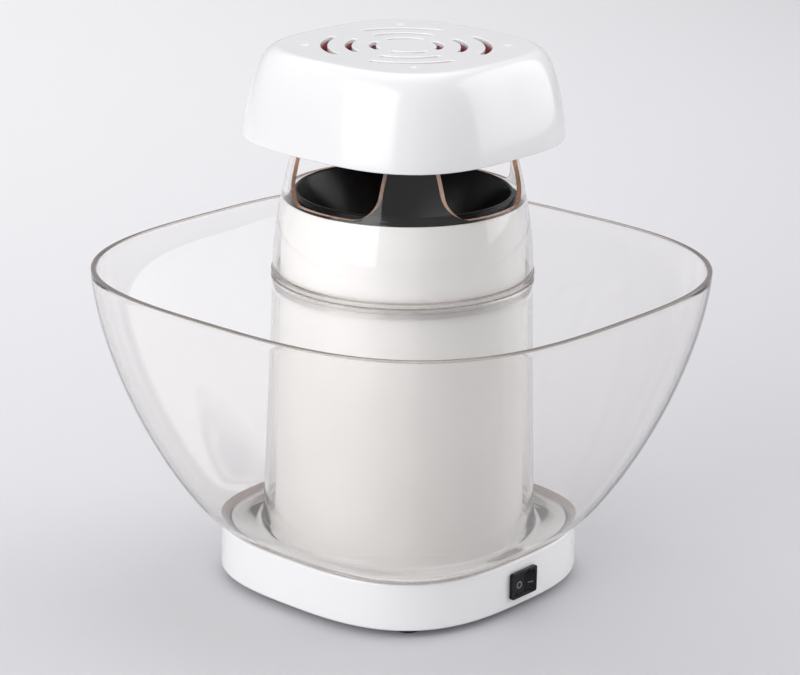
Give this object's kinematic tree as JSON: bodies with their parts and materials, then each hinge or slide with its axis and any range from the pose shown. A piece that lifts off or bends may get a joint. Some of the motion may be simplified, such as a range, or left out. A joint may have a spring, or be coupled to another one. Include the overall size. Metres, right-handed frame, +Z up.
{
  "type": "popcorn maker",
  "caption": "Hot-air popcorn maker: white base and column, black popping chamber, clear rounded-square bowl around a clear windowed hood, and a slotted white lid.",
  "frame": {"origin": "centre of the underside of the feet", "axes": "+Z up along the popping tower, -Y towards the side with the rocker switch, +Y towards the cord inlet"},
  "size_m": [0.3022, 0.3022, 0.3],
  "materials": {
    "white_plastic": "glossy moulded",
    "clear_plastic": "clear, polished",
    "black_plastic": "semi-gloss moulded",
    "black_rubber": "matt",
    "grey_silicone": "matt",
    "non_stick": "black non-stick coating, satin",
    "red_plastic": "satin moulded",
    "zinc_steel": "bright zinc",
    "sheet_steel": "bright sheet",
    "brass": "bright",
    "mica": "flaky sheet",
    "resistance_wire": "oxidised",
    "ceramic": "glazed",
    "cream_plastic": "heat-resistant",
    "ferrite": "sintered",
    "bronze": "sintered",
    "copper": "enamelled winding",
    "light_plastic": "glass-filled",
    "board": "laminate",
    "yellow_plastic": "potted box",
    "lead_sleeve": "silicone sleeve"
  },
  "bodies": {
    "base": {"base_shell": "white_plastic", "bottom_cover": "white_plastic", "rubber_feet": "black_rubber", "cover_screws": "zinc_steel", "switch_body": "black_plastic", "switch_terminals": "brass", "cord_gland": "black_rubber", "housing_column": "white_plastic", "column_screws": "zinc_steel", "popping_chamber": "non_stick", "chamber_gasket": "grey_silicone", "heater_can": "sheet_steel", "mica_frame": "mica", "heater_coil": "resistance_wire", "coil_terminals": "brass", "thermostat": "ceramic", "thermal_fuse": "zinc_steel", "blower_housing": "cream_plastic", "blower_screws": "zinc_steel", "motor_bracket": "sheet_steel", "bracket_screws": "zinc_steel", "motor_can": "zinc_steel", "motor_end_cap": "light_plastic", "motor_magnets": "ferrite", "motor_bushes": "bronze", "motor_screws": "zinc_steel", "rectifier_board": "board", "rectifier_diodes": "black_plastic", "noise_capacitor": "yellow_plastic", "wiring": "lead_sleeve"},
    "rocker": {"switch_rocker": "black_plastic"},
    "rotor": {"motor_shaft": "zinc_steel", "armature": "copper", "commutator": "copper", "fan_impeller": "light_plastic"},
    "bowl": {"bowl": "clear_plastic"},
    "hood": {"hood": "clear_plastic"},
    "lid": {"lid_cover": "white_plastic", "lid_liner": "red_plastic", "lid_screws": "zinc_steel"}
  },
  "joints": [
    {"name": "rocker_tilt", "type": "hinge", "parent": "base", "child": "rocker", "pos_m": [0, -0.08945, 0.017], "axis": [0, 0, 1], "range_deg": [0, 22]},
    {"name": "fan_spin", "type": "hinge", "parent": "base", "child": "rotor", "pos_m": [0, 0, 0.035], "axis": [0, 0, 1], "continuous": true},
    {"name": "bowl_lift", "type": "slide", "parent": "base", "child": "bowl", "axis": [0, 0, 1], "range_m": [0, 0.2]},
    {"name": "hood_lift", "type": "slide", "parent": "bowl", "child": "hood", "axis": [0, 0, 1], "range_m": [0, 0.06]},
    {"name": "lid_lift", "type": "slide", "parent": "hood", "child": "lid", "axis": [0, 0, 1], "range_m": [0, 0.04]}
  ]
}
